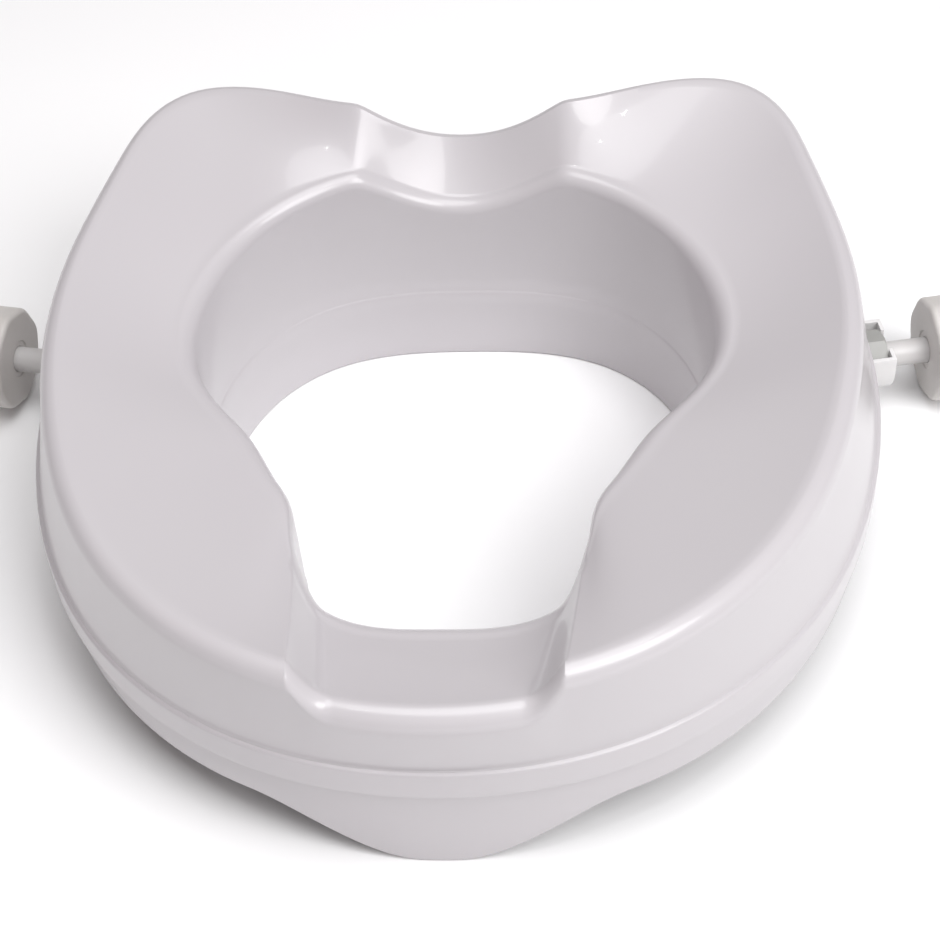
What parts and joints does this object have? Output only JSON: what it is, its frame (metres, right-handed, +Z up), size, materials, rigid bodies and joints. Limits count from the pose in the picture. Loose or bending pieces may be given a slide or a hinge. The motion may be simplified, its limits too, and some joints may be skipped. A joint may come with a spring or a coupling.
{
  "type": "raised toilet seat",
  "caption": "Raised toilet seat moulding with a keyhole opening and front and back dips, held to the bowl rim by screw clamps turned with hand knobs.",
  "frame": {"origin": "under the middle of the whole object, on the plane of its lowest edges", "axes": "+X to the user's left when seated facing the open front, along the line of the knobs; +Y towards the back of the seat, the raised shoulders; +Z up"},
  "size_m": [0.4906, 0.3803, 0.1319],
  "materials": {
    "seat_plastic": "glossy white moulding",
    "bracket_plastic": "satin white",
    "knob_plastic": "satin off-white",
    "screw_plastic": "satin light grey",
    "grey_plastic": "satin grey",
    "steel": "zinc plated",
    "rubber": "matte"
  },
  "bodies": {
    "seat": {"seat_shell": "seat_plastic", "rest_pad_front_left": "rubber", "rest_pad_back_left": "rubber", "rest_pad_front_right": "rubber", "rest_pad_back_right": "rubber", "left_bracket": "bracket_plastic", "left_bracket_screw_1": "steel", "left_bracket_screw_2": "steel", "left_nut": "grey_plastic", "right_bracket": "bracket_plastic", "right_bracket_screw_1": "steel", "right_bracket_screw_2": "steel", "right_nut": "grey_plastic"},
    "left_foot_set": {"left_foot": "bracket_plastic", "left_foot_pad": "rubber"},
    "left_knob_set": {"left_screw": "screw_plastic", "left_knob": "knob_plastic"},
    "right_foot_set": {"right_foot": "bracket_plastic", "right_foot_pad": "rubber"},
    "right_knob_set": {"right_screw": "screw_plastic", "right_knob": "knob_plastic"}
  },
  "joints": [
    {"name": "left_foot_travel", "type": "slide", "parent": "seat", "child": "left_foot_set", "axis": [-0.9848, 0.1736, 0], "range_m": [0, 0.0181]},
    {"name": "left_knob_turn", "type": "hinge", "parent": "left_foot_set", "child": "left_knob_set", "pos_m": [-0.222, 0.0899, 0.027], "axis": [-0.9848, 0.1736, 0], "range_deg": [0, 2160]},
    {"name": "right_foot_travel", "type": "slide", "parent": "seat", "child": "right_foot_set", "axis": [0.9848, 0.1736, 0], "range_m": [0, 0.0181]},
    {"name": "right_knob_turn", "type": "hinge", "parent": "right_foot_set", "child": "right_knob_set", "pos_m": [0.222, 0.0899, 0.027], "axis": [0.9848, 0.1736, 0], "range_deg": [0, 2160]}
  ],
  "couplings": [
    {"joint": "left_foot_travel", "follows": "left_knob_turn", "m_per_rad": 0.00047746},
    {"joint": "right_foot_travel", "follows": "right_knob_turn", "m_per_rad": 0.00047746}
  ]
}
